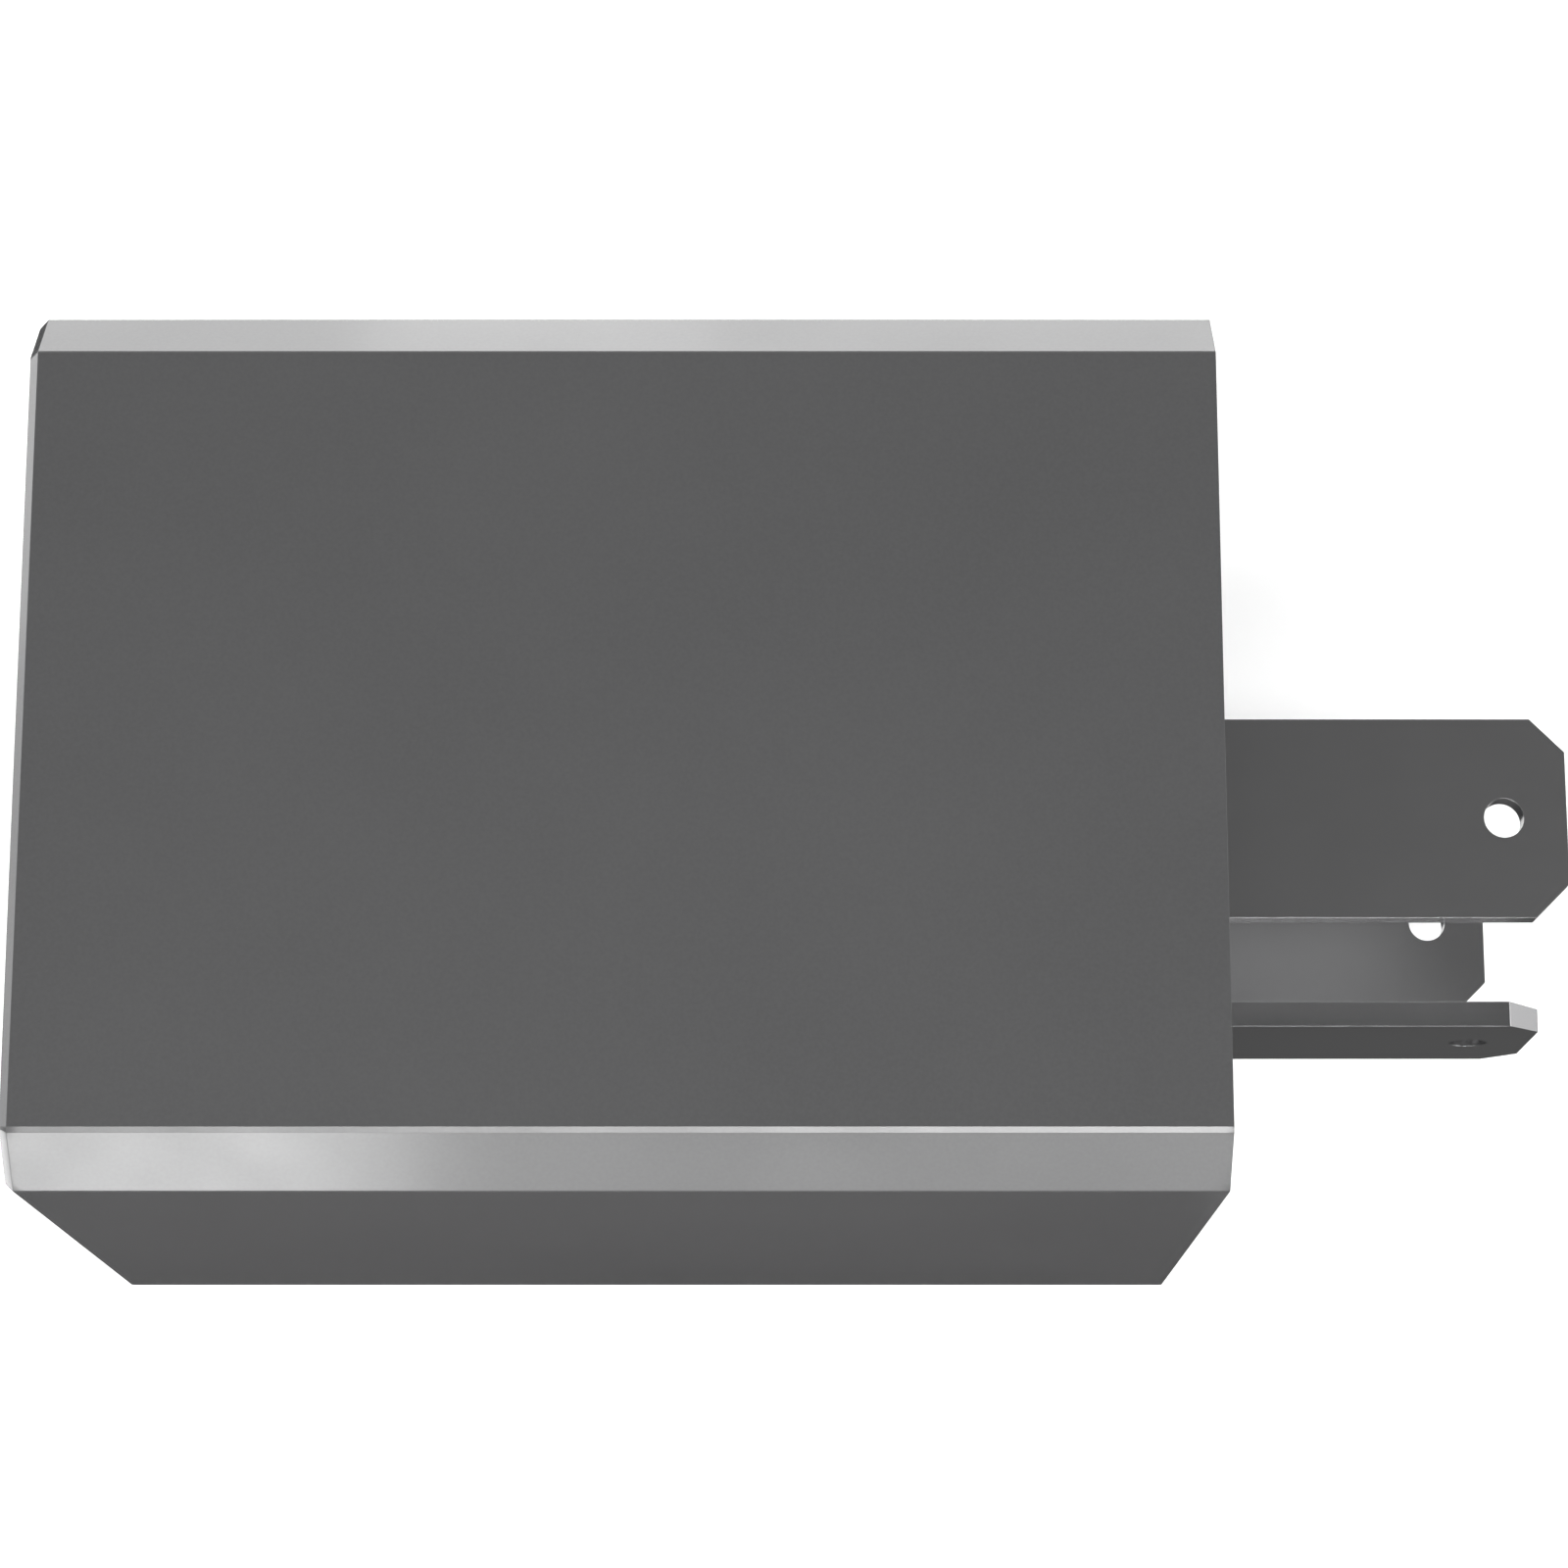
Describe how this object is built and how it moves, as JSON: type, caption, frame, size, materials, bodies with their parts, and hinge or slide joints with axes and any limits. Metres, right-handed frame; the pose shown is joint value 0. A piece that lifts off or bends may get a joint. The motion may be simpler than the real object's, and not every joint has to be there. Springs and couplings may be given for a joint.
{
  "type": "plug-in inverter module",
  "caption": "Small dark grey plug-in power inverter module: a square chamfered cap over a board, with flat blade terminals that push into a relay-type socket.",
  "frame": {"origin": "centre of the terminal face, which is the outer face of the base and the open rim of the cover", "axes": "+X along the blades, out of the terminal face; +Z out of the broad face that looks up when the module lies on its side; +Y from the single blade towards the pair"},
  "size_m": [0.0473, 0.0272, 0.0272],
  "materials": {
    "cover_plastic": "fine satin, dark grey, moulded",
    "base_plastic": "matt black, glass filled",
    "gasket_rubber": "smooth black",
    "blade_metal": "dark grey tin plate over brass, satin",
    "board_laminate": "green solder mask",
    "solder": "bright solder",
    "bobbin_plastic": "black phenolic",
    "ferrite": "dark grey ferrite",
    "tinned_lead": "tinned, satin",
    "primary_wire": "enamelled copper, orange brown",
    "secondary_wire": "enamelled copper, red brown",
    "insulating_tape": "yellow polyester film",
    "core_tape_film": "yellow polyester film",
    "can_aluminium": "bright drawn",
    "sleeve_film": "black shrink sleeve",
    "bung_rubber": "black",
    "foil_roll": "rolled foil and paper",
    "film_box": "blue box, satin",
    "spreader_aluminium": "milled",
    "pad_silicone": "grey silicone",
    "spring_steel": "bright spring steel",
    "package_epoxy": "black epoxy",
    "fuse_ceramic": "white ceramic",
    "resistor_glaze": "black glaze",
    "capacitor_ceramic": "tan ceramic"
  },
  "bodies": {
    "module": {"base": "base_plastic", "base_gasket": "gasket_rubber", "supply_terminal": "blade_metal", "ground_terminal": "blade_metal", "output_terminal": "blade_metal", "main_board": "board_laminate", "solder_joints": "solder", "transformer_bobbin": "bobbin_plastic", "transformer_core_front": "ferrite", "transformer_core_rear": "ferrite", "transformer_pins": "tinned_lead", "primary_winding": "primary_wire", "winding_insulation": "insulating_tape", "secondary_winding": "secondary_wire", "winding_tape": "insulating_tape", "core_tape": "core_tape_film", "input_capacitor_can": "can_aluminium", "input_capacitor_sleeve": "sleeve_film", "input_capacitor_bung": "bung_rubber", "input_capacitor_roll": "foil_roll", "input_capacitor_leads": "tinned_lead", "output_capacitor": "film_box", "output_capacitor_leads": "tinned_lead", "heat_spreader": "spreader_aluminium", "thermal_pads": "pad_silicone", "transistor_clip": "spring_steel", "transistor_1_body": "package_epoxy", "transistor_2_body": "package_epoxy", "transistor_1_leads": "tinned_lead", "transistor_2_leads": "tinned_lead", "controller_chip": "package_epoxy", "controller_chip_leads": "tinned_lead", "choke_core": "ferrite", "choke_winding": "primary_wire", "choke_terminals": "tinned_lead", "fuse_body": "fuse_ceramic", "fuse_caps": "tinned_lead", "diode_body": "package_epoxy", "diode_leads": "tinned_lead", "chip_resistors": "resistor_glaze", "chip_resistor_ends": "tinned_lead", "chip_capacitors": "capacitor_ceramic", "chip_capacitor_ends": "tinned_lead"},
    "cover": {"cover": "cover_plastic"}
  },
  "joints": [
    {"name": "cover_slide", "type": "slide", "parent": "module", "child": "cover", "axis": [-1, 0, 0], "range_m": [0, 0.045]}
  ]
}
